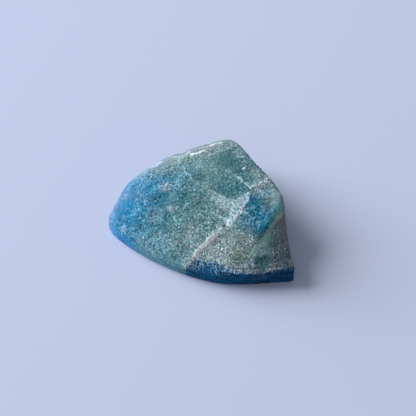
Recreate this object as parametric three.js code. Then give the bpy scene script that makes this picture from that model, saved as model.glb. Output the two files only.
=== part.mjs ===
// Azurite specimen: one wedge-shaped chip of blue-green azurite rock, thick at the right and
// thin at the left tip, with a broken top, a smoothed rim and a flat base it rests on.
// Millimetres, +Z up. The origin is the middle of the plan box, on the base plane.
import * as THREE from "three";
import { ImprovedNoise } from "three/addons/math/ImprovedNoise.js";

// Rim of the top in plan, anticlockwise from the left tip: x, y, and how far the foot of the
// wall stands out past the rim there. The front is one long curve that ends in a sharp corner.
const RIM = [
  [-14.7, -1.0, 0.0],
  [-14.2, -2.6, 0.0],
  [-12.3, -4.6, 0.0],
  [-8.2, -7.8, 0.0],
  [-2.6, -10.9, 0.0],
  [2.8, -12.7, 0.0],
  [7.3, -13.0, 0.0],
  [11.6, -12.7, 0.0],
  [15.0, -12.3, 0.0],
  [15.2, -12.0, 0.0],
  [14.7, -9.8, 0.1],
  [14.1, -5.0, 0.2],
  [13.4, -0.4, 0.3],
  [9.4, 5.9, 0.7],
  [5.7, 11.3, 1.0],
  [3.6, 11.9, 1.1],
  [-1.7, 10.9, 1.2],
  [-6.3, 9.3, 1.1],
  [-11.4, 5.6, 0.8],
  [-13.8, 1.2, 0.3],
];

// Broken faces, as a geologist notes them: a point on the face, the dip below level in degrees,
// and the compass of the plan that it falls towards, in degrees anticlockwise from +X.
const MAIN_FACE = { point: [4.0, -5.7, 6.4], dip: 11, towards: 196 };
const FRONT_LEFT_SLOPE = { point: [-8.0, -7.7, 1.9], dip: 27, towards: 240 };
const SECOND_FACE = { point: [4.0, -5.7, 6.4], dip: 9, towards: 259 };
const FRONT_FACE = { point: [7.3, -12.7, 3.0], dip: 31, towards: 268 };
const RIGHT_FACE = { point: [9.0, -9.0, 5.8], dip: 46, towards: 319 };
const RIGHT_SHELF = { point: [14.6, -11.8, 3.3], dip: 8, towards: 270 };
const DOME_ROUNDING = 0.7; // how softly the main face runs into the front left slope
const SCOOP_ROUNDING = 0.35; // the hollow where the right face meets its shelf
const EDGE_ROUNDING = 0.26; // the worn edges between the other faces

// Vein: a low rib of paler rock that crosses the top from the right rim to the front rim.
const VEIN_PATH = [
  [11.3, 2.1],
  [8.0, 0.2],
  [6.4, -2.7],
  [4.0, -5.6],
  [1.2, -7.8],
  [-0.8, -9.5],
  [-2.2, -11.0],
];
const VEIN_RISE = 0.18;
const VEIN_HALF_WIDTH = 0.7;

// Scarp: a shallow flake scar behind a short curved step, which is deepest at the step.
const SCARP_PATH = [
  [0.6, 2.4],
  [2.2, 0.6],
  [3.9, -0.5],
  [5.8, -0.9],
  [7.6, -0.4],
];
const SCARP_DROP = 0.42;
const SCARP_STEP = 0.7;
const SCARP_RUN = 1.9;

// The top rolls over at its smoothed rim. Towards the right the rim is broken and sharper.
const RIM_ROLL_DROP = 0.5;
const RIM_ROLL_WIDTH = 1.4;
const SHARP_RIM_ROLL = 0.3; // share of the roll that is left at the right
const SHARP_RIM_FROM = 1.0;
const SHARP_RIM_TO = 7.0;

// Ripples of the broken surface: wavelength and height of each. They die down at the smoothed
// rim. The wall has its own, which grow with the flare, so the front edge stays nearly plain.
const RIPPLES = [
  { wavelength: 6.5, height: 0.26 },
  { wavelength: 2.6, height: 0.18 },
];
const RIPPLE_REACH = 2.5;
const WALL_RIPPLES = [
  { wavelength: 4.6, height: 1.0 },
  { wavelength: 1.9, height: 0.4 },
];
const WALL_LEAST_RIPPLE = 0.12;

// Mesh density: rings from the middle of the top to the rim, and rows down the wall.
const TOP_RINGS = 32;
const WALL_ROWS = 6;
const CURVE_SAMPLES = 80;
const RIM_DIVISIONS = 2000;
const MIDDLE = new THREE.Vector2(0.8, 0.2);

const ROCK_TEAL = 0x5b8a96;

const noise = new ImprovedNoise();

const curveThrough = (points, closed = false) => {
  const places = points.map(([x, y, flare = 0]) => new THREE.Vector3(x, y, flare));
  return new THREE.CatmullRomCurve3(places, closed, "centripetal");
};

const veinCurve = curveThrough(VEIN_PATH).getSpacedPoints(CURVE_SAMPLES);
const scarpCurve = curveThrough(SCARP_PATH).getSpacedPoints(CURVE_SAMPLES);

// The lowest of several heights, with the meeting lines rounded off.
function softMinimum(heights, rounding) {
  const lowest = Math.min(...heights);
  const sum = heights.reduce((total, h) => total + Math.exp((lowest - h) / rounding), 0);
  return lowest - rounding * Math.log(sum);
}

// The highest of several heights, with the meeting lines rounded off.
function softMaximum(heights, rounding) {
  return -softMinimum(heights.map((h) => -h), rounding);
}

// Height of a face's plane over a point of the plan.
function faceHeight({ point, dip, towards }, x, y) {
  const angle = THREE.MathUtils.degToRad(towards);
  const run = (x - point[0]) * Math.cos(angle) + (y - point[1]) * Math.sin(angle);
  return point[2] - run * Math.tan(THREE.MathUtils.degToRad(dip));
}

// The broken faces joined: a dome on the left, two faces in front and a scoop on the right.
function facesHeight(x, y) {
  const over = (face) => faceHeight(face, x, y);
  const dome = softMinimum([over(MAIN_FACE), over(FRONT_LEFT_SLOPE)], DOME_ROUNDING);
  const scoop = softMaximum([over(RIGHT_FACE), over(RIGHT_SHELF)], SCOOP_ROUNDING);
  return softMinimum([dome, over(SECOND_FACE), over(FRONT_FACE), scoop], EDGE_ROUNDING);
}

// Nearest sample of a curve: distance, signed positive on its left, and share of its length.
function alongCurve(samples, x, y) {
  let nearest = 0;
  let least = Infinity;
  samples.forEach((p, i) => {
    const d = Math.hypot(x - p.x, y - p.y);
    if (d < least) {
      least = d;
      nearest = i;
    }
  });
  const before = samples[Math.max(nearest - 1, 0)];
  const after = samples[Math.min(nearest + 1, samples.length - 1)];
  const here = samples[nearest];
  const turn = (after.x - before.x) * (y - here.y) - (after.y - before.y) * (x - here.x);
  return { distance: least * Math.sign(turn), share: nearest / (samples.length - 1) };
}

function veinRelief(x, y) {
  const { distance } = alongCurve(veinCurve, x, y);
  return VEIN_RISE * Math.exp(-((distance / VEIN_HALF_WIDTH) ** 2));
}

function scarpRelief(x, y) {
  const { distance, share } = alongCurve(scarpCurve, x, y);
  const taper = Math.sin(Math.PI * share);
  const step = THREE.MathUtils.smoothstep(distance, 0, SCARP_STEP);
  return -SCARP_DROP * taper * step * Math.exp(-Math.max(distance, 0) / SCARP_RUN);
}

function rippleSum(waves, x, y, z) {
  const ripple = ({ wavelength, height }) =>
    height * noise.noise(x / wavelength, y / wavelength, z / wavelength);
  return waves.reduce((sum, wave) => sum + ripple(wave), 0);
}

// Height of the top over a point of the plan that lies inset from the rim.
function topHeight(x, y, inset) {
  const faces = facesHeight(x, y);
  const relief = veinRelief(x, y) + scarpRelief(x, y);
  const strength = THREE.MathUtils.smoothstep(inset, 0, RIPPLE_REACH);
  const ripples = strength * rippleSum(RIPPLES, x, y, faces);
  const sharp = THREE.MathUtils.smoothstep(x, SHARP_RIM_FROM, SHARP_RIM_TO);
  const rollDrop = RIM_ROLL_DROP * THREE.MathUtils.lerp(1, SHARP_RIM_ROLL, sharp);
  const roll = rollDrop * Math.max(0, 1 - inset / RIM_ROLL_WIDTH) ** 2;
  return faces + relief + ripples - roll;
}

// Ring number ring of the top has 6 * ring points, so the triangles stay near equal in size.
const ringStart = (ring) => (ring === 0 ? 0 : 1 + 3 * ring * (ring - 1));

function addTop(positions, rim) {
  positions.push(MIDDLE.x, MIDDLE.y, topHeight(MIDDLE.x, MIDDLE.y, Infinity));
  for (let ring = 1; ring <= TOP_RINGS; ring++) {
    const share = ring / TOP_RINGS;
    for (let i = 0; i < 6 * ring; i++) {
      const edge = rim.getPointAt(i / (6 * ring));
      const x = MIDDLE.x + share * (edge.x - MIDDLE.x);
      const y = MIDDLE.y + share * (edge.y - MIDDLE.y);
      const inset = (1 - share) * Math.hypot(edge.x - MIDDLE.x, edge.y - MIDDLE.y);
      positions.push(x, y, topHeight(x, y, inset));
    }
  }
}

// Wall rows run from just under the rim to the base, and spread by the rim's flare on the way.
function addWall(positions, rim, rimCount) {
  const rimStart = ringStart(TOP_RINGS);
  for (let row = 1; row <= WALL_ROWS; row++) {
    const share = row / WALL_ROWS;
    for (let i = 0; i < rimCount; i++) {
      const [x, y, top] = positions.slice(3 * (rimStart + i), 3 * (rimStart + i) + 3);
      const flare = rim.getPointAt(i / rimCount).z;
      const z = top * (1 - share);
      const reach = Math.hypot(x - MIDDLE.x, y - MIDDLE.y);
      const strength = (WALL_LEAST_RIPPLE + flare) * Math.sin(Math.PI * share);
      const swell = strength * rippleSum(WALL_RIPPLES, x, y, z);
      const scale = 1 + (flare * share + swell) / reach;
      positions.push(MIDDLE.x + (x - MIDDLE.x) * scale, MIDDLE.y + (y - MIDDLE.y) * scale, z);
    }
  }
  positions.push(MIDDLE.x, MIDDLE.y, 0);
}

function topTriangles() {
  const triangles = [];
  for (let ring = 1; ring <= TOP_RINGS; ring++) {
    const outer = (i) => ringStart(ring) + (i % (6 * ring));
    const inner = (i) => (ring === 1 ? 0 : ringStart(ring - 1) + (i % (6 * (ring - 1))));
    for (let sector = 0; sector < 6; sector++) {
      for (let i = 0; i < ring; i++) {
        const out = sector * ring + i;
        const into = sector * (ring - 1) + i;
        triangles.push(outer(out), outer(out + 1), inner(into));
        if (i < ring - 1) triangles.push(outer(out + 1), inner(into + 1), inner(into));
      }
    }
  }
  return triangles;
}

function wallAndBaseTriangles(rimCount) {
  const triangles = [];
  const rimStart = ringStart(TOP_RINGS);
  const at = (row, i) => rimStart + row * rimCount + (i % rimCount);
  for (let row = 0; row < WALL_ROWS; row++) {
    for (let i = 0; i < rimCount; i++) {
      triangles.push(at(row, i), at(row + 1, i), at(row, i + 1));
      triangles.push(at(row, i + 1), at(row + 1, i), at(row + 1, i + 1));
    }
  }
  const baseMiddle = rimStart + (WALL_ROWS + 1) * rimCount;
  for (let i = 0; i < rimCount; i++) {
    triangles.push(at(WALL_ROWS, i + 1), at(WALL_ROWS, i), baseMiddle);
  }
  return triangles;
}

function stoneGeometry() {
  const rim = curveThrough(RIM, true);
  rim.arcLengthDivisions = RIM_DIVISIONS;
  const rimCount = 6 * TOP_RINGS;
  const positions = [];
  addTop(positions, rim);
  addWall(positions, rim, rimCount);
  const geometry = new THREE.BufferGeometry();
  geometry.setAttribute("position", new THREE.Float32BufferAttribute(positions, 3));
  geometry.setIndex([...topTriangles(), ...wallAndBaseTriangles(rimCount)]);
  geometry.computeBoundingBox();
  const centre = geometry.boundingBox.getCenter(new THREE.Vector3());
  geometry.translate(-centre.x, -centre.y, 0);
  geometry.computeVertexNormals();
  return geometry;
}

const rock = new THREE.MeshStandardMaterial({ color: ROCK_TEAL, roughness: 0.6, metalness: 0 });
const stone = new THREE.Mesh(stoneGeometry(), rock);
stone.name = "azurite_stone";

const specimen = new THREE.Group();
specimen.add(stone);

export default specimen;
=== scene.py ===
"""Azurite specimen: a wedge-shaped chip of granular blue-green rock, lying on a pale table.

The stone is a fine copy of the CAD solid with the grains of its broken faces raised on it. Its
colour zones are painted as vertex attributes, and the material adds the grain of the rock.
Lengths here are in millimetres, in the part's own frame, and become metres at the end.
"""

import math

import bpy
import numpy as np
from mathutils import Matrix, Vector, kdtree, noise


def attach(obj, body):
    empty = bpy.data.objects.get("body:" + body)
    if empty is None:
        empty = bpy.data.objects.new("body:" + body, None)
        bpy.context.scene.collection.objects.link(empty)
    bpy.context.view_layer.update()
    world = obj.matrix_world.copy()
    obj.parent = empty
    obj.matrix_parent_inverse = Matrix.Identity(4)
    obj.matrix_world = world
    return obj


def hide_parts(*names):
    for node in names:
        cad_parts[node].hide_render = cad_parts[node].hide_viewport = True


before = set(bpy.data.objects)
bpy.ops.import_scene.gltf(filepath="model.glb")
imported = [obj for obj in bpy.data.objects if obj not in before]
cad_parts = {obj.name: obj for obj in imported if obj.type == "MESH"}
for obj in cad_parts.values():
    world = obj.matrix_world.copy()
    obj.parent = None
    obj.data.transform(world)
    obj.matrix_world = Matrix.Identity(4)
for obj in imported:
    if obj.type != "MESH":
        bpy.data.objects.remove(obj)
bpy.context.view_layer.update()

MM = 0.001
SEED = 11

# Camera: looks along +Y and down, from the distance and with the lens that fit the photograph.
CAMERA_TARGET = (1.25, 0.45, 3.0)
CAMERA_DISTANCE = 260.0
CAMERA_ELEVATION = 50.0
CAMERA_SENSOR = 36.0
IMAGE_WIDTH = 416
PIXELS_PER_MM = 6.13
CAMERA_NEAR = 10.0

# Light: a broad soft key from the left and a little behind, and pale light from all round.
KEY_TOWARDS = (-0.76, 0.41, 0.35)
KEY_DISTANCE = 1500.0
KEY_SIZE = 1350.0
KEY_POWER = 42.5
KEY_COLOUR = (1.0, 0.985, 0.96)
SKY_COLOUR = (0.97, 0.97, 1.0)
SKY_STRENGTH = 0.26
FLOOR_COLOUR = (0.61, 0.685, 0.93)
FLOOR_SIZE = 1600.0
FLOOR_ROUGHNESS = 0.8
FLOOR_SPECULAR = 0.2

# Fine mesh of the stone.
WELD_DISTANCE = 0.001
VOXEL = 0.14
SMOOTHING_ROUNDS = 6
SMOOTHING_STEP = 0.5

# Grains of the broken rock: area of surface for each, how high and how tilted they stand, the groove
# round each, the low lumps under them, the stone's whole surface, and the share of the relief that is
# lost where the rock is smooth.
GRAIN_AREA = 0.09
GRAIN_HEIGHT = 0.012
GRAIN_TILT = 0.12
GRAIN_GROOVE = 0.012
GRAIN_GROOVE_WIDTH = 0.14
LUMP_HEIGHT = 0.035
LUMP_LENGTH = 1.1
STONE_SURFACE = 1560.0
RELIEF_LOST = 0.9

# Grain of the material: how many cells, seams and needles there are to a millimetre, how bent they are,
# and how far the faces of the cells tilt.
CELLS_PER_MM = 4.0
SEAMS_PER_MM = 2.0
NEEDLES_PER_MM = 2.45
GRAIN_BEND = 0.09
CELL_TILT = 0.34

# Noise in the material, as waves to a millimetre and detail, and the range that most of a noise lies in.
BEND_NOISE = (3.0, 2.0)
SPECK_NOISE = (9.0, 3.0)
SEAM_NOISE = (4.2, 1.0)
CLUMP_NOISE = (1.3, 2.0)
CLOUD_NOISE = (0.7, 3.0)
NOISE_RANGE = (0.3, 0.7)

# How far the ground lightens and darkens by grain, by speck and by cloud, and how much of the change by
# speck is left where the rock is smooth.
GRAIN_CHANGE = 0.36
SPECK_CHANGE = 0.32
CLOUD_CHANGE = 0.18
SMOOTH_SPECKS = 0.5

# Deep grains: their tint, which of the grains are deep, how deep the deepest is, and how they gather.
DEEP_TINT = (0.0, 0.46, 0.54)
DEEP_GRAINS = (0.6, 1.0)
DEEPEST = 0.8
DEEP_CLUMPS = (0.35, 0.65)
DEEP_CLUMP_SHARES = (0.5, 1.4)

# White grains: the white added to the paled ground, the share of that ground, and the palest colour.
WHITE_GRAIN = (0.4, 0.46, 0.62)
WHITE_GROUND = 0.75
PALEST = (0.84, 0.92, 1.0)

# Forms of the white: seams along the edges of large cells, needles, and frost along the edges of small
# cells. Each has its share, the seams and the frost have the distances over which they fade, the seams
# the noise at which they break off, and the needles their half sizes, fade and range of brightness.
SEAM_SHARE = 0.6
SEAM_FADE = (0.03, 0.15)
SEAM_BREAKS = (0.42, 0.58)
NEEDLE_SHARE = 0.95
NEEDLE_HALF_LENGTH = 0.4
NEEDLE_HALF_WIDTH = 0.107
NEEDLE_FADE = (0.4, 1.2)
NEEDLE_BRIGHTNESS = (-0.35, 1.6)
FROST_SHARE = 0.06
FROST_FADE = (0.0, 0.2)

# Finish: roughness where smooth and where broken, gloss, and how light spreads below the surface.
ROUGHNESS = (0.32, 0.42)
SPECULAR = 0.06
GLOW = 0.25
GLOW_RADIUS = (0.8, 1.0, 1.0)
GLOW_DEPTH = 0.5

# Shift of each noise on the mesh, so that no two are alike, with the direction of the shift and the
# further shift from one axis to the next.
NOISE_SHIFT = {
    "stains": 0.0,
    "rim": 5.0,
    "streaks": 19.0,
    "lumps": 23.0,
    "wall grains": 29.0,
    "walls": 30.0,
    "drifts": 41.0,
    "clusters": 53.0,
    "ragged lines": 60.0,
    "line gaps": 77.0,
    "specks": 91.0,
}
SHIFT_DIRECTION = (1.0, 0.37, 0.71)
AXIS_SHIFT = 17.3
RAGGED_AXIS_SHIFT = 9.1

# Faces by the way that they look: ranges of the normal over which a share goes from 0 to 1. The top and
# the lines on it are measured upward, the base downward, upright walls by how far the normal is from
# level, hidden walls backward, and the front and its streaks forward. Points of the wall that bounds the
# rim have a normal no farther from level than the last value.
TOP_FACING = (0.35, 0.6)
LINE_FACING = (0.1, 0.4)
BASE_FACING = (0.6, 0.9)
UPRIGHT_FACING = (0.2, 0.45)
HIDDEN_FACING = (-0.3, 0.2)
FRONT_FACING = (0.3, 0.6)
STREAK_FACING = (0.4, 0.7)
RIM_WALL = 0.35

# Smoothed rim: how far in from the edge the top was rubbed smooth, how far that wanders, and where
# along the stone it ends.
SMOOTH_RIM_FADE = 0.8
SMOOTH_RIM_WANDER = 0.55
SMOOTH_RIM_WANDER_LENGTH = 1.4
SMOOTH_RIM_END = (-1.0, 4.0)

# Chips off the rim: two that show, as middle, reach and depth, and many small ones by chance, which lie
# near the edge where the surface looks up and not forward.
RIM_CHIPS = [
    ((-7.9, 8.6, 4.5), 1.0, 0.26),
    ((-3.0, 10.1, 5.8), 1.2, 0.3),
]
SMALL_CHIPS = 46
SMALL_CHIP_REACH = (0.3, 0.8)
SMALL_CHIP_DEPTH = (0.03, 0.12)
CHIP_INSET = 0.4
CHIP_UPWARD = 0.25
CHIP_BACKWARD = -0.3


def linear(red, green, blue):
    """A colour given as screen values from 0 to 255, in linear light, by the standard screen curve."""
    screen = np.array([red, green, blue]) / 255.0
    low = screen / 12.92
    high = ((screen + 0.055) / 1.055) ** 2.4
    return np.where(screen <= 0.04045, low, high)


# Ground colours along the long side, from the left tip to the middle: place and colour.
RAMP_DIRECTION = (0.94, -0.34)
RAMP = [
    (-13.2, linear(76, 142, 194)),
    (-11.2, linear(36, 146, 204)),
    (-8.2, linear(32, 136, 176)),
    (-5.6, linear(46, 124, 150)),
    (-2.6, linear(70, 123, 132)),
    (4.0, linear(96, 138, 140)),
]

# Stains on the top: colour, middle, half length and half width, turn in degrees, how soft the
# edge is as a share of the size, and strength.
STAINS = [
    ("sage back rim", linear(138, 164, 168), (-2.6, 9.2), 7.0, 2.2, 22, 0.8, 0.8),
    ("grey green back", linear(126, 148, 154), (2.6, 9.8), 4.6, 2.2, -8, 0.7, 0.8),
    ("teal back right", linear(52, 107, 116), (5.6, 5.2), 4.6, 3.2, -40, 0.6, 0.85),
    ("deep blue streak", linear(0, 104, 148), (-8.8, 1.8), 2.2, 1.1, -40, 0.8, 0.55),
    ("deep blue spot", linear(0, 124, 186), (-12.3, -1.2), 0.5, 1.0, -20, 0.6, 0.85),
    ("blue spot", linear(0, 116, 166), (-10.5, 1.3), 0.7, 0.6, 0, 0.7, 0.7),
    ("blue spot back", linear(10, 112, 150), (-8.2, 3.8), 1.0, 0.7, 0, 0.7, 0.6),
    ("dark teal middle", linear(48, 106, 116), (-3.4, -0.2), 2.4, 2.0, 0, 0.8, 0.5),
    ("dark teal upper", linear(52, 108, 116), (-0.3, 3.2), 2.2, 1.1, 20, 0.8, 0.5),
    ("dark back corner", linear(66, 108, 118), (6.6, 6.6), 2.4, 1.3, -55, 0.7, 0.75),
    ("grey left", linear(132, 166, 184), (-7.4, -1.9), 1.8, 1.4, 0, 0.8, 0.4),
    ("grey low middle", linear(138, 158, 160), (-2.2, -6.7), 2.2, 1.3, 40, 0.8, 0.6),
    ("sage upper", linear(116, 148, 152), (2.0, 5.8), 2.6, 1.8, -20, 0.7, 0.4),
    ("pale by the scar", linear(146, 174, 182), (1.2, 2.6), 1.4, 0.8, -30, 0.8, 0.35),
    ("grey back edge", linear(138, 156, 162), (9.0, 3.8), 1.8, 0.8, -50, 0.7, 0.5),
    # Painted light: the front-left face is lightened, standing in for light that passes through the stone.
    ("light on front-left face", linear(110, 164, 188), (-8.0, -6.6), 5.0, 1.8, -32, 0.7, 0.6),
    ("low middle", linear(114, 156, 166), (-4.1, -7.0), 2.6, 1.8, -30, 0.7, 0.6),
    ("front teal rim", linear(98, 155, 170), (-6.0, -9.0), 4.6, 1.2, -30, 0.6, 0.85),
    ("blue front rim", linear(50, 140, 196), (-12.3, -4.9), 2.0, 0.8, -42, 0.6, 0.8),
    ("olive front", linear(130, 152, 152), (5.2, -8.4), 4.0, 2.2, -14, 0.6, 0.85),
    ("yellow green", linear(144, 164, 146), (5.6, -10.5), 2.2, 0.8, 10, 0.8, 0.5),
    ("pale front", linear(144, 160, 166), (2.0, -9.6), 2.6, 1.2, -35, 0.6, 0.6),
    ("right rim", linear(146, 174, 184), (12.3, -1.4), 2.6, 1.2, 100, 0.6, 0.8),
    ("above patch", linear(128, 160, 184), (10.2, 0.3), 2.4, 1.2, 20, 0.6, 0.7),
    ("speckled front", linear(150, 166, 178), (6.6, -12.0), 3.6, 0.6, 0, 0.6, 0.6),
    ("left haze", linear(116, 166, 200), (-10.6, 3.2), 1.7, 1.2, 60, 0.8, 0.5),
    ("pale blotch left", linear(158, 184, 204), (-5.8, 3.4), 1.1, 0.8, 30, 0.8, 0.6),
    ("pale blotch upper", linear(148, 178, 200), (-6.6, 6.6), 1.3, 0.7, 35, 0.8, 0.35),
    ("pale blotch middle", linear(172, 192, 214), (-4.6, -1.1), 0.7, 0.6, 0, 0.8, 0.65),
    ("tan corner", linear(156, 168, 174), (10.7, 2.3), 1.8, 1.0, 40, 0.7, 0.5),
    ("white chip", linear(186, 218, 254), (-12.3, -3.6), 0.22, 0.42, 10, 0.3, 0.9),
    ("brown fleck", linear(110, 122, 116), (-12.4, 2.0), 0.34, 0.2, 20, 0.6, 0.6),
    ("white fleck back", linear(206, 220, 236), (6.95, 5.15), 0.36, 0.22, 30, 0.5, 0.9),
    ("white fleck edge", linear(206, 222, 238), (6.65, 7.75), 0.75, 0.14, -12, 0.4, 0.9),
]

# Specks that gather in places: colour, size, middle, half length and half width of the place, turn in
# degrees, strength. Below them is the noise at which a speck begins and is full.
SPECKS = [
    ("patch dark", linear(0, 40, 72), 0.36, (9.0, -4.1), 3.0, 2.2, 100, 0.95),
    ("patch light", linear(146, 196, 222), 0.5, (8.4, -4.2), 2.8, 2.0, 100, 0.55),
    ("left", linear(0, 96, 146), 0.4, (-9.0, 1.6), 2.8, 1.8, -40, 0.7),
    # Painted sheen: pale specks along the edge of the left tip.
    ("tip sheen", linear(156, 186, 222), 0.8, (-11.8, 0.8), 4.0, 1.8, 64, 0.4),
    ("low left", linear(20, 96, 118), 0.33, (-7.0, -2.6), 3.0, 1.8, 0, 0.55),
    ("middle", linear(40, 92, 98), 0.33, (-1.5, 0.5), 4.0, 2.4, 0, 0.45),
    ("scar", linear(14, 74, 84), 0.33, (5.6, 0.6), 2.6, 1.6, 0, 0.6),
    ("back right", linear(40, 90, 98), 0.33, (6.4, 5.6), 3.0, 2.0, -40, 0.55),
    ("olive", linear(80, 104, 98), 0.33, (5.6, -8.2), 3.4, 1.8, -14, 0.5),
    ("lower right", linear(50, 54, 56), 0.33, (12.4, -10.2), 2.2, 1.4, 80, 0.4),
]
SPECK_EDGE = (0.05, 0.45)

# How far the stains and the zones wander on the top and on the hidden walls, and over what length.
STAIN_WANDER = 0.4
STAIN_WANDER_LENGTH = 1.6
WALL_WANDER = 2.2
WALL_WANDER_LENGTH = 3.4

# Lines that bound zones of the top, each drawn in plan from left to right or from back to front.
SCAR_EDGE = [(1.7, 1.65), (2.9, 0.75), (4.15, -0.45), (5.1, -0.9), (6.1, -0.8), (7.2, -0.5), (7.7, -0.1)]
RIDGE = [(14.6, -1.2), (13.3, -3.1), (11.4, -5.8), (9.8, -8.2), (8.7, -9.4), (7.9, -10.7), (8.2, -11.7)]
PATCH_EDGE = [(9.5, 1.6), (8.1, 0.0), (7.8, -1.2), (7.2, -2.7), (6.4, -4.0), (5.7, -5.6), (5.6, -8.0)]
NAVY_EDGE = [
    (-2.9, -11.3), (-1.9, -10.9), (-1.3, -10.4), (-0.6, -10.1), (1.1, -10.7), (2.7, -11.1), (3.8, -11.8),
    (4.9, -12.45), (8.5, -12.7), (10.2, -12.6), (11.1, -12.35), (12.7, -12.2), (14.8, -11.8),
]

# Zones beside those lines: line, side (1 for the left of the line as drawn, -1 for its right), softness
# of the edge, and the stains within them.
ZONES = [
    (
        "scar", SCAR_EDGE, 1, 0.08,
        [("scar floor", linear(40, 106, 118), (5.3, 1.0), 3.4, 1.9, -20, 0.6, 0.9)],
    ),
    (
        "shelf", SCAR_EDGE, -1, 0.08,
        [
            ("pale shelf", linear(164, 188, 200), (4.7, -1.5), 2.9, 1.1, -25, 0.6, 0.5),
            ("shelf tip", linear(150, 178, 188), (2.4, 0.6), 1.4, 0.7, -45, 0.6, 0.6),
        ],
    ),
    (
        "right of the vein", PATCH_EDGE, 1, 0.2,
        [
            ("blue patch", linear(0, 118, 152), (9.0, -4.1), 3.5, 2.3, 110, 0.45, 0.95),
            ("blue by the vein", linear(0, 108, 144), (8.3, -1.6), 1.0, 0.6, 60, 0.6, 0.8),
            ("blue specks", linear(50, 118, 146), (7.4, -5.2), 1.8, 1.3, 60, 0.6, 0.6),
            ("bright blue", linear(0, 144, 180), (10.4, -5.4), 1.8, 0.6, 56, 0.6, 0.8),
            ("teal by the ridge", linear(96, 178, 194), (11.9, -3.5), 1.8, 0.7, 56, 0.6, 0.7),
        ],
    ),
    (
        "right face", RIDGE, 1, 0.12,
        [
            ("brown grey", linear(124, 130, 134), (14.0, -6.0), 9.0, 9.0, 0, 0.1, 0.95),
            ("right green", linear(164, 218, 218), (10.3, -8.9), 2.7, 1.3, 58, 0.6, 0.9),
            ("dark slope", linear(64, 88, 88), (11.8, -7.6), 1.5, 0.8, 60, 0.7, 0.5),
            ("pocket", linear(44, 112, 120), (9.9, -11.2), 1.8, 0.9, 15, 0.4, 0.85),
            ("front teal", linear(96, 130, 136), (10.2, -12.3), 2.4, 0.5, 0, 0.6, 0.6),
            ("right corner", linear(70, 89, 103), (13.1, -10.2), 2.8, 1.8, 80, 0.6, 0.85),
        ],
    ),
    (
        "navy edge", NAVY_EDGE, -1, 0.25,
        [
            ("navy", linear(4, 86, 126), (6.0, -13.0), 14.0, 5.0, 0, 0.1, 1.0),
            ("dark navy", linear(4, 62, 98), (12.6, -13.0), 4.2, 3.0, 0, 0.6, 0.9),
        ],
    ),
]

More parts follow.
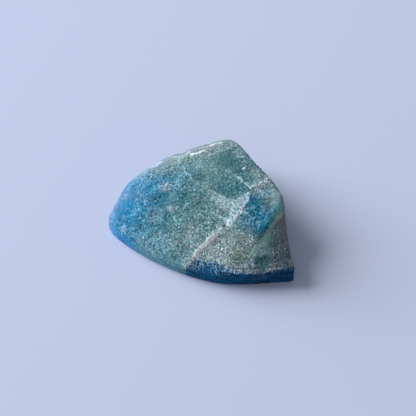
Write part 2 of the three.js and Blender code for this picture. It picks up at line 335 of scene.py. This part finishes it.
# Lines on the top: colour, strength, half width at both ends, how broken up, height, and path in plan.
# Below them is how far they wander and how ragged and broken they are, and how their edges fade.
LINES = [
    # Painted shade: a darker line over the tip's slope on the left, which faces the key light.
    (
        "shade on left tip", linear(66, 118, 162), 0.75, 0.7, 0.8, 0.15, 0.0,
        [(-13.9, 0.0), (-13.4, 1.8), (-12.6, 4.3), (-11.4, 6.0)],
    ),
    (
        "rim band", linear(148, 164, 174), 0.6, 0.5, 0.7, 0.4, 0.0,
        [(-10.8, 5.9), (-8.3, 7.2), (-6.7, 8.2), (-4.6, 9.1), (-2.2, 9.6), (0.2, 10.0), (3.0, 10.8)],
    ),
    (
        "vein top", linear(188, 202, 214), 0.85, 0.12, 0.12, 0.2, 0.02,
        [(8.0, 0.4), (8.3, 0.95), (9.0, 1.3), (9.65, 1.65), (10.3, 2.1), (11.0, 2.6)],
    ),
    (
        "vein haze", linear(160, 186, 208), 0.6, 0.6, 0.8, 0.6, 0.0,
        [(7.1, -1.1), (6.4, -2.3), (5.3, -3.8)],
    ),
    (
        "vein white", linear(192, 224, 252), 0.95, 0.18, 0.22, 0.15, 0.04,
        [(7.8, -0.2), (7.6, -1.3), (6.9, -2.6)],
    ),
    (
        "vein middle", linear(206, 226, 250), 0.95, 0.24, 0.46, 0.25, 0.04,
        [(6.9, -2.6), (5.8, -4.1), (4.6, -5.3)],
    ),
    (
        "vein thin", linear(204, 210, 218), 0.8, 0.2, 0.26, 0.3, 0.02,
        [(3.6, -5.8), (3.3, -6.0), (2.4, -6.7)],
    ),
    (
        "vein tan", linear(202, 208, 212), 0.85, 0.42, 0.56, 0.15, 0.02,
        [(2.4, -6.85), (1.25, -7.75), (0.3, -8.5), (-0.5, -9.2)],
    ),
    (
        "vein end", linear(182, 190, 196), 0.8, 0.4, 0.2, 0.4, 0.0,
        [(-0.5, -9.2), (-1.3, -10.0), (-2.1, -10.65), (-2.7, -11.2)],
    ),
    (
        "vein shadow", linear(98, 114, 114), 0.55, 0.12, 0.12, 0.4, -0.03,
        [(1.75, -8.05), (0.95, -8.6), (0.15, -9.1), (-0.65, -9.75)],
    ),
    ("vein notch", linear(92, 84, 80), 0.85, 0.16, 0.2, 0.0, -0.08, [(3.9, -5.35), (3.75, -5.7)]),
    ("vein spot", linear(20, 22, 20), 1.0, 0.22, 0.22, 0.0, -0.06, [(7.95, 0.55), (8.1, 0.38)]),
    (
        "crack haze", linear(176, 200, 214), 0.55, 0.26, 0.16, 0.7, 0.0,
        [(4.3, 5.0), (5.1, 4.2), (5.7, 3.65), (6.3, 3.1)],
    ),
    (
        "crack", linear(188, 208, 222), 0.65, 0.12, 0.1, 0.25, -0.03,
        [(5.9, 3.45), (6.3, 3.1), (6.9, 2.25), (7.4, 1.8), (8.0, 1.05), (8.4, 1.1)],
    ),
    (
        "upper strokes", linear(190, 214, 232), 0.55, 0.12, 0.14, 0.6, 0.0,
        [(-2.9, 6.9), (-2.6, 5.9), (-1.7, 5.2), (-1.5, 4.2), (-0.7, 3.2)],
    ),
    ("scar edge", linear(178, 200, 212), 0.7, 0.1, 0.16, 0.3, 0.02, SCAR_EDGE[:4]),
    ("ridge", linear(152, 182, 174), 0.9, 0.24, 0.18, 0.3, 0.02, RIDGE[1:-1]),
    (
        "pocket rim", linear(176, 190, 196), 0.7, 0.12, 0.16, 0.3, 0.03,
        [(7.8, -10.5), (8.1, -11.2), (8.4, -11.9)],
    ),
    # Painted highlight along the top edge of the front wall.
    (
        "front lip highlight", linear(190, 206, 224), 0.55, 0.1, 0.12, 0.6, 0.0,
        [(4.7, -12.55), (8.5, -12.85), (10.2, -12.7), (11.1, -12.35), (12.7, -12.15)],
    ),
    (
        "glint left", linear(220, 232, 250), 0.95, 0.18, 0.12, 0.3, 0.04,
        [(-7.8, 7.7), (-7.0, 8.3), (-6.35, 8.75)],
    ),
    (
        "glint faint", linear(186, 202, 216), 0.8, 0.1, 0.1, 0.5, 0.02,
        [(-4.9, 8.95), (-4.2, 9.2), (-3.5, 9.4)],
    ),
    (
        "glint low", linear(220, 232, 250), 0.95, 0.22, 0.1, 0.3, 0.04,
        [(-1.5, 9.2), (-0.3, 9.45), (1.0, 9.9)],
    ),
    # Painted shade in a small groove between two rim glints.
    ("shade between glints", linear(88, 100, 102), 0.7, 0.1, 0.08, 0.3, -0.05, [(-1.4, 9.65), (0.4, 10.1)]),
    (
        "glint high", linear(214, 228, 246), 0.9, 0.12, 0.16, 0.6, 0.04,
        [(-0.2, 10.3), (0.8, 10.45), (2.4, 10.95), (3.4, 11.1)],
    ),
]
LINE_WANDER = 0.25
LINE_RAGGED = 0.13
LINE_RAGGED_LENGTH = 0.55
LINE_BREAK_LENGTH = 0.6
LINE_BREAKS = (-0.4, 0.2)
LINE_EDGE = (0.6, 1.4)

# Patches of the top that are smooth: how smooth, middle, half length and half width, turn in degrees.
SMOOTH_PATCHES = [
    ("left tip", 0.7, (-12.5, 1.4), 4.6, 1.7, 64),
    ("back left rim", 0.85, (-5.4, 9.0), 4.8, 0.9, 27),
    ("back corner", 1.0, (1.6, 10.8), 4.2, 0.9, 12),
    ("upper", 0.4, (2.8, 5.4), 4.6, 3.2, -25),
    ("right rim", 0.65, (12.9, -1.6), 2.6, 0.9, 100),
    ("right face", 0.75, (13.7, -5.2), 2.8, 1.2, 98),
    ("blue by the ridge", 0.6, (10.9, -5.2), 1.9, 0.5, 54),
    ("ridge", 0.6, (10.6, -7.0), 3.8, 0.4, 57),
    ("vein", 0.6, (0.7, -8.2), 1.5, 0.45, 41),
]
PATCH_SOFTNESS = 0.6

# Share of white grains: how far they gather along the vein, the size of their drifts and clusters, the
# share everywhere, what drifts, clusters and the vein add, the part left out on the hidden walls, and
# patches with more or fewer: the change, middle, half length and half width, turn in degrees.
VEIN_PATH = [(11.3, 1.9), (8.0, 0.2), (6.6, -2.7), (4.3, -5.1), (0.7, -8.2), (-2.4, -10.9)]
VEIN_SUGAR_REACH = 1.5
SUGAR_DRIFT = 2.4
SUGAR_CLUSTER = 0.8
SUGAR_BASE = 0.07
SUGAR_BY_DRIFT = 0.8
SUGAR_BY_CLUSTER = 0.22
SUGAR_BY_VEIN = 0.4
SUGAR_OFF_WALLS = 0.5
SUGAR_PATCHES = [
    ("left", -0.12, (-10.0, 0.5), 6.0, 4.2, 70),
    ("patch", -0.32, (8.8, -4.0), 3.6, 2.4, 108),
    ("upper", -0.08, (0.5, 5.5), 4.5, 2.5, 10),
    ("back right", -0.2, (6.6, 6.4), 3.0, 2.2, -50),
    ("by the scar", -0.25, (-0.4, 2.8), 1.6, 1.2, 0),
    ("dark middle", -0.2, (-3.4, -0.2), 2.4, 2.0, 0),
    ("scar", -0.25, (6.0, 1.0), 2.2, 1.8, 0),
    ("front strip", 0.2, (5.6, -11.9), 3.6, 0.7, -6),
    ("navy end", 0.35, (1.4, -10.8), 2.8, 0.8, -20),
    ("lower right", -0.1, (12.8, -10.4), 1.9, 1.5, 70),
    ("pale front", 0.25, (2.4, -9.3), 2.6, 1.2, -35),
]

# Front wall: where along the stone its dark blue begins, how smooth it is and how much more so there,
# the size and stretch of the streaks along it, the size of the grains in it, how much each changes its
# lightness, the height of the painted contact shade at its foot and how dark that is, and the least
# lightness.
NAVY_START = (-4.0, -2.0)
FRONT_SMOOTH = 0.78
NAVY_SMOOTH = 0.15
STREAK_LENGTH = 0.8
STREAK_STRETCH = (0.3, 1.0, 2.0)
STREAK_CHANGE = 0.7
WALL_GRAIN_LENGTH = 0.36
WALL_GRAIN_CHANGE = 0.6
FOOT_SHADE_HEIGHT = 0.5
FOOT_SHADE_CHANGE = 0.4
LEAST_LIGHTNESS = 0.2

# Painted shade along the rim at the back and the left: its tint, how far in it fades, and the way that it
# looks.
RIM_SHADE_TINT = (0.62, 0.5, 0.48)
RIM_SHADE_FADE = 0.7
RIM_SHADE_DIRECTION = (-0.6, 1.0)
RIM_SHADE_FACING = (0.0, 0.4)

# Walls that the photograph doesn't show: their teal, its share, and how much softer zones end on them.
WALL_TEAL = linear(84, 128, 138)
WALL_TEAL_SHARE = 0.45
WALL_SOFTNESS = 2.0


def smooth(low, high, value):
    """0 below low, 1 above high, and a smooth rise between."""
    share = np.clip((value - low) / (high - low), 0.0, 1.0)
    return share * share * (3.0 - 2.0 * share)


def mix(first, second, share):
    return first + (second - first) * share[:, None]


def wander(points, length, offset):
    """Smooth noise from about -1 to 1 at each point."""
    shift = Vector([offset * part for part in SHIFT_DIRECTION])
    return np.array([noise.noise(Vector(p) / length + shift) for p in points])


def along_path(points, path):
    """Distance of each point of the plan from a path (positive on its left), and how far along, 0 to 1."""
    corners = np.array(path, float)
    starts = corners[:-1]
    steps = corners[1:] - starts
    offset = points[:, None, :2] - starts[None]
    share = np.clip((offset * steps).sum(2) / (steps**2).sum(1), 0.0, 1.0)
    gap = np.linalg.norm(offset - share[..., None] * steps, axis=2)
    left = steps[:, 0] * offset[..., 1] - steps[:, 1] * offset[..., 0]
    nearest = gap.argmin(1)
    rows = np.arange(len(points))
    distance = gap[rows, nearest] * np.sign(left[rows, nearest])
    return distance, (nearest + share[rows, nearest]) / len(steps)


def fine_stone():
    """A fine copy of the stone's solid, in millimetres: welded, and remeshed in small voxels."""
    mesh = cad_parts["azurite_stone"].data.copy()
    mesh.transform(Matrix.Scale(1.0 / MM, 4))
    stone = bpy.data.objects.new("azurite_stone_rock", mesh)
    bpy.context.scene.collection.objects.link(stone)
    weld = stone.modifiers.new("weld", "WELD")
    weld.merge_threshold = WELD_DISTANCE
    voxels = stone.modifiers.new("voxels", "REMESH")
    voxels.mode = "VOXEL"
    voxels.voxel_size = VOXEL
    graph = bpy.context.evaluated_depsgraph_get()
    stone_mesh = bpy.data.meshes.new_from_object(stone.evaluated_get(graph))
    stone.modifiers.clear()
    stone.data = stone_mesh
    stone_mesh.name = stone.name
    return stone


def read_points(mesh):
    points = np.empty(len(mesh.vertices) * 3)
    mesh.vertices.foreach_get("co", points)
    return points.reshape(-1, 3)


def read_normals(mesh):
    normals = np.empty(len(mesh.vertices) * 3)
    mesh.vertex_normals.foreach_get("vector", normals)
    return normals.reshape(-1, 3)


def write_points(mesh, points):
    mesh.vertices.foreach_set("co", points.ravel())
    mesh.update()


def smooth_mesh(mesh, rounds):
    """Relaxes the voxel steps and the solid's small facets, and keeps the base flat."""
    points = read_points(mesh)
    edges = np.empty(len(mesh.edges) * 2, np.int32)
    mesh.edges.foreach_get("vertices", edges)
    first, second = edges.reshape(-1, 2).T
    count = np.bincount(edges, minlength=len(points))[:, None]
    on_base = points[:, 2] < VOXEL
    for _ in range(rounds):
        total = np.zeros_like(points)
        np.add.at(total, first, points[second])
        np.add.at(total, second, points[first])
        points += SMOOTHING_STEP * (total / count - points)
    points[on_base, 2] = np.maximum(points[on_base, 2], 0.0)
    write_points(mesh, points)


def near_tree(points):
    tree = kdtree.KDTree(len(points))
    for index, point in enumerate(points):
        tree.insert(point, index)
    tree.balance()
    return tree


def rim_inset(points, normals):
    """Distance of each point from the nearest point of the upright wall."""
    wall = points[np.abs(normals[:, 2]) < RIM_WALL]
    tree = near_tree(wall)
    return np.array([tree.find(point)[2] for point in points])


def grain_relief(points, rng):
    """Height of the grains at each point: each grain is a small tilted facet with a groove round it."""
    chosen = rng.choice(len(points), int(STONE_SURFACE / GRAIN_AREA), replace=False)
    centres = points[chosen]
    tree = near_tree(centres)
    found = [tree.find_n(point, 2) for point in points]
    grain = np.array([pair[0][1] for pair in found])
    gap = np.array([pair[1][2] - pair[0][2] for pair in found])
    tilt = rng.normal(0.0, GRAIN_TILT, (len(centres), 3))
    height = rng.uniform(-GRAIN_HEIGHT, GRAIN_HEIGHT, len(centres))
    facet = height[grain] + (tilt[grain] * (points - centres[grain])).sum(1)
    groove = GRAIN_GROOVE * (1.0 - smooth(0.0, GRAIN_GROOVE_WIDTH, gap))
    lump = LUMP_HEIGHT * wander(points, LUMP_LENGTH, NOISE_SHIFT["lumps"])
    return facet - groove + lump


def ramp_colour(points):
    place = points[:, :2] @ np.array(RAMP_DIRECTION)
    stops = [stop for stop, _ in RAMP]
    colours = np.array([colour for _, colour in RAMP])
    return np.stack([np.interp(place, stops, colours[:, k]) for k in range(3)], 1)


def stain_share(points, middle, half_length, half_width, turn, softness):
    angle = math.radians(turn)
    offset = points[:, :2] - np.array(middle)
    along = offset @ np.array([math.cos(angle), math.sin(angle)])
    across = offset @ np.array([-math.sin(angle), math.cos(angle)])
    reach = np.hypot(along / half_length, across / half_width)
    return 1.0 - smooth(1.0 - softness, 1.0 + softness, reach)


def patch_share(points, middle, half_length, half_width, turn):
    return stain_share(points, middle, half_length, half_width, turn, PATCH_SOFTNESS)


def wall_share(normals):
    """1 on the walls at the back and the right, which the photograph doesn't show."""
    upright = 1.0 - smooth(*UPRIGHT_FACING, np.abs(normals[:, 2]))
    return upright * smooth(*HIDDEN_FACING, normals[:, 1])


def warp(points, normals):
    """The points moved in plan, a little on the top and more down the wall, so that zones wander."""
    wall = wall_share(normals)
    warped = points.copy()
    for k in range(2):
        on_top = wander(points, STAIN_WANDER_LENGTH, NOISE_SHIFT["stains"] + k * AXIS_SHIFT)
        on_wall = wander(points, WALL_WANDER_LENGTH, NOISE_SHIFT["walls"] + k * AXIS_SHIFT)
        warped[:, k] += STAIN_WANDER * on_top
        warped[:, k] += WALL_WANDER * wall * on_wall
    return warped


def add_stains(colour, points, stains):
    for _, stain, middle, half_length, half_width, turn, softness, strength in stains:
        share = stain_share(points, middle, half_length, half_width, turn, softness)
        colour = mix(colour, stain, share * strength)
    return colour


def zone_share(points, path, side, softness):
    distance, _ = along_path(points, path)
    return smooth(-softness, softness, distance * side)


def trace(points, warped):
    """The points moved as the edges of zones and the lines wander."""
    traced = points + LINE_WANDER * (warped - points)
    for k in range(2):
        shift = NOISE_SHIFT["ragged lines"] + k * RAGGED_AXIS_SHIFT
        traced[:, k] += LINE_RAGGED * wander(points, LINE_RAGGED_LENGTH, shift)
    return traced


def line_shares(points, normals, warped):
    """Share of each of the lines at each point, on the top."""
    traced = trace(points, warped)
    top = smooth(*LINE_FACING, normals[:, 2])
    gaps = 1.0 - smooth(*LINE_BREAKS, wander(points, LINE_BREAK_LENGTH, NOISE_SHIFT["line gaps"]))
    shares = []
    for _, _, strength, start, end, broken, _, path in LINES:
        distance, place = along_path(traced, path)
        width = start + (end - start) * place
        share = 1.0 - smooth(*LINE_EDGE, np.abs(distance) / width)
        shares.append(strength * top * share * (1.0 - broken * gaps))
    return shares


def navy_end(points):
    """1 along the dark blue part of the front, 0 left of it."""
    return smooth(*NAVY_START, points[:, 0])


def front_streaks_and_shade(points, normals):
    """Change of lightness on the front wall: streaks along it, its grains, and painted contact shade at
    its foot.
    """
    front = smooth(*STREAK_FACING, -normals[:, 1]) * navy_end(points)
    streak = wander(points * np.array(STREAK_STRETCH), STREAK_LENGTH, NOISE_SHIFT["streaks"])
    grains = wander(points, WALL_GRAIN_LENGTH, NOISE_SHIFT["wall grains"])
    # Painted contact shade: darker towards the bottom of the front wall.
    foot = 1.0 - smooth(0.0, FOOT_SHADE_HEIGHT, points[:, 2])
    change = STREAK_CHANGE * streak + WALL_GRAIN_CHANGE * grains - FOOT_SHADE_CHANGE * foot
    return np.maximum(1.0 + front * change, LEAST_LIGHTNESS)


def rock_colours(points, normals, warped, inset, lines):
    """Colour of the rock at each point, in linear light, with painted light and shade in some stains,
    specks and lines, along the rim and at the foot of the front wall.
    """
    traced = trace(points, warped)
    wall = wall_share(normals)
    colour = add_stains(ramp_colour(warped), warped, STAINS)
    for _, path, side, softness, stains in ZONES:
        inside = add_stains(colour, warped, stains)
        share = zone_share(traced, path, side, softness + WALL_SOFTNESS * wall)
        colour = mix(colour, inside, share)
    for index, (_, tint, size, *place, strength) in enumerate(SPECKS):
        speck = smooth(*SPECK_EDGE, wander(points, size, NOISE_SHIFT["specks"] + index))
        colour = mix(colour, tint, strength * patch_share(warped, *place) * speck)
    colour = colour * front_streaks_and_shade(points, normals)[:, None]
    # Painted shade: the rim at the back and the left is darkened by its tint.
    outward = normals[:, :2] @ np.array(RIM_SHADE_DIRECTION)
    edge = (1.0 - smooth(0.0, RIM_SHADE_FADE, inset)) * smooth(*RIM_SHADE_FACING, outward)
    colour = mix(colour, colour * np.array(RIM_SHADE_TINT), edge)
    for (_, tint, *_), share in zip(LINES, lines):
        colour = mix(colour, tint, share)
    return mix(colour, WALL_TEAL, WALL_TEAL_SHARE * wall)


def sugar_share(points, normals, warped):
    """How many of the grains are white, from 0 to 1."""
    distance, _ = along_path(points, VEIN_PATH)
    by_vein = np.exp(-((distance / VEIN_SUGAR_REACH) ** 2))
    drift = 0.5 + 0.5 * wander(points, SUGAR_DRIFT, NOISE_SHIFT["drifts"])
    cluster = wander(points, SUGAR_CLUSTER, NOISE_SHIFT["clusters"])
    share = SUGAR_BASE + SUGAR_BY_DRIFT * drift + SUGAR_BY_CLUSTER * cluster + SUGAR_BY_VEIN * by_vein
    for _, more, *place in SUGAR_PATCHES:
        share += more * patch_share(warped, *place)
    return np.clip(share, 0.0, 1.0) * (1.0 - SUGAR_OFF_WALLS * wall_share(normals))


def smooth_share(points, normals, warped, inset):
    """How smooth the rock is, from 0 on the broken faces to 1 on the rubbed rim and front."""
    top = smooth(*TOP_FACING, normals[:, 2])
    left = 1.0 - smooth(*SMOOTH_RIM_END, points[:, 0])
    edge = inset + SMOOTH_RIM_WANDER * wander(points, SMOOTH_RIM_WANDER_LENGTH, NOISE_SHIFT["rim"])
    band = left * top * (1.0 - smooth(0.0, SMOOTH_RIM_FADE, edge))
    front = (1.0 - top) * smooth(*FRONT_FACING, -normals[:, 1])
    shares = [band, (FRONT_SMOOTH + NAVY_SMOOTH * navy_end(points)) * front]
    for _, amount, *place in SMOOTH_PATCHES:
        shares.append(amount * patch_share(warped, *place) * top)
    return np.clip(np.max(shares, 0), 0.0, 1.0)


def chip_depth(points, normals, inset, rng):
    """Depth of the chips off the rim at each point."""
    on_rim = (inset < CHIP_INSET) & (normals[:, 2] > CHIP_UPWARD) & (normals[:, 1] > CHIP_BACKWARD)
    middles = points[rng.choice(np.where(on_rim)[0], SMALL_CHIPS, replace=False)]
    reaches = rng.uniform(*SMALL_CHIP_REACH, SMALL_CHIPS)
    depths = rng.uniform(*SMALL_CHIP_DEPTH, SMALL_CHIPS)
    chips = RIM_CHIPS + list(zip(middles, reaches, depths))
    total = np.zeros(len(points))
    for middle, reach, depth in chips:
        gap = np.linalg.norm(points - np.array(middle), axis=1) / reach
        total = np.maximum(total, depth * np.clip(1.0 - gap**2, 0.0, 1.0))
    return total


def add_attribute(mesh, name, values):
    layer = mesh.attributes.new(name, "FLOAT", "POINT")
    layer.data.foreach_set("value", values.astype(np.float32))


def add_colour(mesh, name, colours):
    layer = mesh.attributes.new(name, "FLOAT_COLOR", "POINT")
    with_alpha = np.concatenate([colours, np.ones((len(colours), 1))], 1)
    layer.data.foreach_set("color", with_alpha.astype(np.float32).ravel())


def dress_stone(stone):
    """Raises the grains and paints the zones."""
    rng = np.random.default_rng(SEED)
    mesh = stone.data
    smooth_mesh(mesh, SMOOTHING_ROUNDS)
    points = read_points(mesh)
    normals = read_normals(mesh)
    warped = warp(points, normals)
    inset = rim_inset(points, normals)
    smoothed = smooth_share(points, normals, warped, inset)
    lines = line_shares(points, normals, warped)
    base = smooth(*BASE_FACING, -normals[:, 2])
    strength = (1.0 - RELIEF_LOST * smoothed) * (1.0 - base)
    relief = grain_relief(points, rng) * strength
    relief -= chip_depth(points, normals, inset, rng)
    for (*_, height, _), share in zip(LINES, lines):
        relief += height * share
    write_points(mesh, points + normals * relief[:, None])
    add_colour(mesh, "rock_colour", rock_colours(points, normals, warped, inset, lines))
    add_attribute(mesh, "grit", 1.0 - smoothed)
    add_attribute(mesh, "sugar", sugar_share(points, normals, warped))


class Recipe:
    """Short ways to add and join the nodes of one material."""

    def __init__(self, material):
        material.use_nodes = True
        self.nodes = material.node_tree.nodes
        self.link = material.node_tree.links.new

    def add(self, kind, **values):
        node = self.nodes.new(kind)
        for name, value in values.items():
            setattr(node, name, value)
        return node

    def feed(self, socket, value):
        if isinstance(value, bpy.types.NodeSocket):
            self.link(value, socket)
        else:
            socket.default_value = value

    def attribute(self, name, output="Fac"):
        return self.add("ShaderNodeAttribute", attribute_name=name).outputs[output]

    def channel(self, colour, name):
        node = self.add("ShaderNodeSeparateColor")
        self.feed(node.inputs["Color"], colour)
        return node.outputs[name]

    def math(self, operation, *values, clamp=False):
        node = self.add("ShaderNodeMath", operation=operation, use_clamp=clamp)
        for socket, value in zip(node.inputs, values):
            self.feed(socket, value)
        return node.outputs["Value"]

    def spread(self, value, target, source=(0.0, 1.0)):
        """A value of the source range, spread to the target range."""
        node = self.add("ShaderNodeMapRange")
        for name, number in zip(("From Min", "From Max", "To Min", "To Max"), (*source, *target)):
            node.inputs[name].default_value = number
        self.feed(node.inputs["Value"], value)
        return node.outputs["Result"]

    def fade(self, value, source):
        """1 at the start of the source range, and 0 at its end."""
        return self.spread(value, (1.0, 0.0), source)

    def scale(self, vector, amount):
        node = self.add("ShaderNodeVectorMath", operation="SCALE")
        self.feed(node.inputs[0], vector)
        self.feed(node.inputs["Scale"], amount)
        return node.outputs["Vector"]

    def vector(self, operation, *values):
        node = self.add("ShaderNodeVectorMath", operation=operation)
        for socket, value in zip(node.inputs, values):
            self.feed(socket, value)
        return node.outputs["Value" if operation == "DOT_PRODUCT" else "Vector"]

    def noise(self, place, kind, output="Fac"):
        node = self.add("ShaderNodeTexNoise")
        for name, number in zip(("Scale", "Detail"), kind):
            node.inputs[name].default_value = number
        self.feed(node.inputs["Vector"], place)
        return node.outputs[output]

    def cells(self, place, scale, feature):
        node = self.add("ShaderNodeTexVoronoi", feature=feature)
        node.inputs["Scale"].default_value = scale
        self.feed(node.inputs["Vector"], place)
        return node.outputs

    def chance_direction(self, cells):
        """A direction by chance for each cell."""
        return self.vector("ADD", cells["Color"], (-0.5, -0.5, -0.5))

    def root(self, colour):
        """The square root of each channel of a colour: paler, with its tint kept."""
        node = self.add("ShaderNodeGamma")
        node.inputs["Gamma"].default_value = 0.5
        self.feed(node.inputs["Color"], colour)
        return node.outputs["Color"]

    def blend(self, share, first, second):
        node = self.add("ShaderNodeMix", data_type="RGBA")
        colours = [socket for socket in node.inputs if socket.type == "RGBA"]
        self.feed(node.inputs["Factor"], share)
        self.feed(colours[0], first)
        self.feed(colours[1], second)
        return next(socket for socket in node.outputs if socket.type == "RGBA")


def ground_lightness(make, grain, grit, place):
    """Lightness of the ground, which changes from grain to grain, by speck and by cloud."""
    shade = make.spread(make.channel(grain["Color"], "Red"), (-GRAIN_CHANGE, GRAIN_CHANGE))
    by_grain = make.math("MULTIPLY", shade, grit)
    speck = make.spread(make.noise(place, SPECK_NOISE), (-SPECK_CHANGE, SPECK_CHANGE), NOISE_RANGE)
    by_speck = make.math("MULTIPLY", speck, make.spread(grit, (SMOOTH_SPECKS, 1.0)))
    by_cloud = make.spread(make.noise(place, CLOUD_NOISE), (-CLOUD_CHANGE, CLOUD_CHANGE), NOISE_RANGE)
    return make.math("ADD", 1.0, make.math("ADD", by_cloud, make.math("ADD", by_grain, by_speck)))


def deep_share(make, grain, grit, place):
    """Share of the deep tint: in some of the grains, and more where they gather."""
    depth = make.spread(make.channel(grain["Color"], "Blue"), (0.0, DEEPEST), DEEP_GRAINS)
    gather = make.spread(make.noise(place, CLUMP_NOISE), DEEP_CLUMP_SHARES, DEEP_CLUMPS)
    return make.math("MULTIPLY", make.math("MULTIPLY", depth, grit), gather, clamp=True)


def needle_form(make, bent, cells):
    """1 in a small needle in each cell, turned by chance, and 0 around it."""
    offset = make.vector("SUBTRACT", bent, cells["Position"])
    axis = make.vector("NORMALIZE", make.chance_direction(cells))
    along = make.math("POWER", make.math("ABSOLUTE", make.vector("DOT_PRODUCT", offset, axis)), 2.0)
    across = make.math("SUBTRACT", make.vector("DOT_PRODUCT", offset, offset), along)
    by_length = make.math("DIVIDE", along, NEEDLE_HALF_LENGTH**2)
    by_width = make.math("DIVIDE", across, NEEDLE_HALF_WIDTH**2)
    return make.fade(make.math("ADD", by_length, by_width), NEEDLE_FADE)


def white_forms(make, bent, place):
    """How white each point is by form: broken seams, needles and frost."""
    edge = make.cells(bent, SEAMS_PER_MM, "DISTANCE_TO_EDGE")["Distance"]
    unbroken = make.spread(make.noise(place, SEAM_NOISE), (0.0, 1.0), SEAM_BREAKS)
    seam = make.math("MULTIPLY", make.fade(edge, SEAM_FADE), unbroken)
    needles = make.cells(bent, NEEDLES_PER_MM, "F1")
    bright = make.spread(make.channel(needles["Color"], "Green"), NEEDLE_BRIGHTNESS)
    needle = make.math("MULTIPLY", needle_form(make, bent, needles), make.math("MAXIMUM", bright, 0.0))
    fine_edge = make.cells(bent, CELLS_PER_MM, "DISTANCE_TO_EDGE")["Distance"]
    frost = make.fade(fine_edge, FROST_FADE)
    white = make.math("MULTIPLY", seam, SEAM_SHARE)
    for form, share in ((needle, NEEDLE_SHARE), (frost, FROST_SHARE)):
        white = make.math("ADD", white, make.math("MULTIPLY", form, share))
    return white


def grain_normal(make, bent, grain, grit):
    """The normal, tilted another way on each grain of the broken rock."""
    offset = make.vector("SUBTRACT", bent, grain["Position"])
    facet = make.vector("DOT_PRODUCT", offset, make.chance_direction(grain))
    bump = make.add("ShaderNodeBump")
    bump.inputs["Distance"].default_value = CELL_TILT * MM
    make.feed(bump.inputs["Height"], make.math("MULTIPLY", facet, grit))
    return bump.outputs["Normal"]


def rock_material():
    """Granular rock: zone colour, tilted grain faces, white seams and needles, deep grains, satin rim."""
    material = bpy.data.materials.new("azurite_rock")
    make = Recipe(material)
    colour = make.attribute("rock_colour", "Color")
    grit = make.attribute("grit")
    sugar = make.attribute("sugar")
    place = make.scale(make.add("ShaderNodeTexCoord").outputs["Object"], 1.0 / MM)
    bend = make.noise(place, BEND_NOISE, "Color")
    bent = make.vector("ADD", place, make.scale(bend, GRAIN_BEND))
    grain = make.cells(bent, CELLS_PER_MM, "F1")

    tinted = make.scale(colour, ground_lightness(make, grain, grit, place))
    deep = make.vector("MULTIPLY", colour, DEEP_TINT)
    ground = make.blend(deep_share(make, grain, grit, place), tinted, deep)
    paled = make.vector("ADD", make.scale(make.root(colour), WHITE_GROUND), WHITE_GRAIN)
    white = make.vector("MINIMUM", paled, PALEST)
    sugared = make.math("MULTIPLY", white_forms(make, bent, place), sugar)
    share = make.math("MULTIPLY", sugared, grit, clamp=True)

    settings = {
        "Base Color": make.blend(share, ground, white),
        "Normal": grain_normal(make, bent, grain, grit),
        "Roughness": make.spread(grit, ROUGHNESS),
        "Specular IOR Level": SPECULAR,
        "Subsurface Weight": GLOW,
        "Subsurface Radius": GLOW_RADIUS,
        "Subsurface Scale": GLOW_DEPTH * MM,
    }
    for name, value in settings.items():
        make.feed(make.nodes["Principled BSDF"].inputs[name], value)
    return material


def build_stone():
    stone = fine_stone()
    dress_stone(stone)
    stone.data.materials.clear()
    stone.data.materials.append(rock_material())
    for polygon in stone.data.polygons:
        polygon.use_smooth = True
    stone.data.transform(Matrix.Scale(MM, 4))
    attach(stone, "root")
    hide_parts("azurite_stone")


def build_floor():
    half = 0.5 * FLOOR_SIZE * MM
    corners = [(-half, -half, 0.0), (half, -half, 0.0), (half, half, 0.0), (-half, half, 0.0)]
    mesh = bpy.data.meshes.new("table_top")
    mesh.from_pydata(corners, [], [(0, 1, 2, 3)])
    floor = bpy.data.objects.new("table_top", mesh)
    bpy.context.scene.collection.objects.link(floor)
    material = bpy.data.materials.new("pale_table")
    material.use_nodes = True
    shader = material.node_tree.nodes["Principled BSDF"]
    shader.inputs["Base Color"].default_value = (*FLOOR_COLOUR, 1.0)
    shader.inputs["Roughness"].default_value = FLOOR_ROUGHNESS
    shader.inputs["Specular IOR Level"].default_value = FLOOR_SPECULAR
    mesh.materials.append(material)


def aim(thing, towards):
    """Points a camera's or light's own -Z along a direction."""
    thing.rotation_euler = Vector(towards).to_track_quat("-Z", "Y").to_euler()


def build_lights():
    scene = bpy.context.scene
    towards = Vector(KEY_TOWARDS).normalized()
    light = bpy.data.lights.new("key", "AREA")
    light.shape = "DISK"
    light.size = KEY_SIZE * MM
    light.energy = KEY_POWER
    light.color = KEY_COLOUR
    key = bpy.data.objects.new("key", light)
    key.location = towards * KEY_DISTANCE * MM
    aim(key, -towards)
    scene.collection.objects.link(key)
    world = bpy.data.worlds.new("studio")
    world.use_nodes = True
    background = world.node_tree.nodes["Background"]
    background.inputs["Color"].default_value = (*SKY_COLOUR, 1.0)
    background.inputs["Strength"].default_value = SKY_STRENGTH
    scene.world = world


def build_camera():
    scene = bpy.context.scene
    elevation = math.radians(CAMERA_ELEVATION)
    back = Vector((0.0, -math.cos(elevation), math.sin(elevation)))
    lens = bpy.data.cameras.new("camera")
    lens.sensor_width = CAMERA_SENSOR
    lens.lens = PIXELS_PER_MM * CAMERA_DISTANCE * CAMERA_SENSOR / IMAGE_WIDTH
    lens.clip_start = CAMERA_NEAR * MM
    camera = bpy.data.objects.new("camera", lens)
    camera.location = (Vector(CAMERA_TARGET) + back * CAMERA_DISTANCE) * MM
    aim(camera, -back)
    scene.collection.objects.link(camera)
    scene.camera = camera
    scene.view_settings.view_transform = "Standard"


build_camera()
build_lights()
build_floor()
build_stone()
